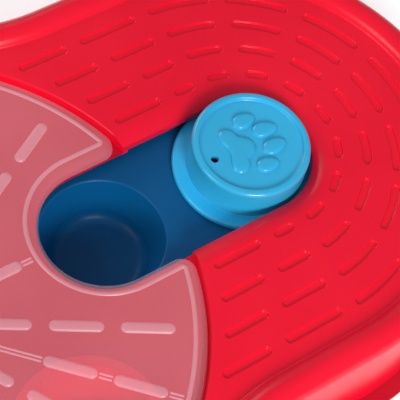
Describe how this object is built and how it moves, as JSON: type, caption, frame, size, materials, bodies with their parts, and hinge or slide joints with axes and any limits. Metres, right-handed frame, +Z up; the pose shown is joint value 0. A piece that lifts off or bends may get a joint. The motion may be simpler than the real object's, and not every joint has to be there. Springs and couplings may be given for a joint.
{
  "type": "push button treat dispenser",
  "caption": "Keyhole-shaped dog treat toy with a round button that slides along a slot over a treat well, and a notched frosted disc lid that turns over hidden cups.",
  "frame": {"origin": "centre of the toy's box at floor level, under the feet", "axes": "+Z up from the floor, +X along the slot from the lid's hub towards the lobe's end, +Y to the left of that"},
  "size_m": [0.3728, 0.2628, 0.0435],
  "materials": {
    "shell_red": "glossy moulded red",
    "pan_red": "satin moulded dark red",
    "cap_red": "glossy moulded red",
    "cup_red": "glossy moulded bright red",
    "tray_navy": "satin moulded dark blue",
    "button_blue": "satin moulded light blue",
    "flange_blue": "satin moulded light blue",
    "lid_frosted": "frosted see-through",
    "washer_white": "white acetal",
    "screw_steel": "zinc plated",
    "foot_rubber": "dull rubber"
  },
  "bodies": {
    "toy_body": {"top_shell": "shell_red", "lid_floor": "shell_red", "base_pan": "pan_red", "slide_tray": "tray_navy", "hub_spindle": "pan_red", "hub_cap": "cap_red", "hub_washer": "washer_white", "hub_post": "shell_red", "hub_screw": "screw_steel", "treat_cup_1": "cup_red", "treat_cup_2": "cup_red", "treat_cup_3": "cup_red", "treat_cup_4": "cup_red", "treat_cup_5": "cup_red", "foot_1": "foot_rubber", "foot_2": "foot_rubber", "foot_3": "foot_rubber", "foot_4": "foot_rubber", "foot_5": "foot_rubber", "foot_6": "foot_rubber", "shell_screws": "screw_steel", "tray_screws": "screw_steel"},
    "button": {"button_cap": "button_blue", "button_flange": "flange_blue", "button_screws": "screw_steel"},
    "lid": {"disc_lid": "lid_frosted", "lid_notch_edge": "lid_frosted"}
  },
  "joints": [
    {"name": "button_slide", "type": "slide", "parent": "toy_body", "child": "button", "axis": [-1, 0, 0], "range_m": [0, 0.0625]},
    {"name": "lid_turn", "type": "hinge", "parent": "toy_body", "child": "lid", "pos_m": [-0.05495, 0, 0.036], "axis": [0, 0, 1], "range_deg": [0, 360]}
  ]
}
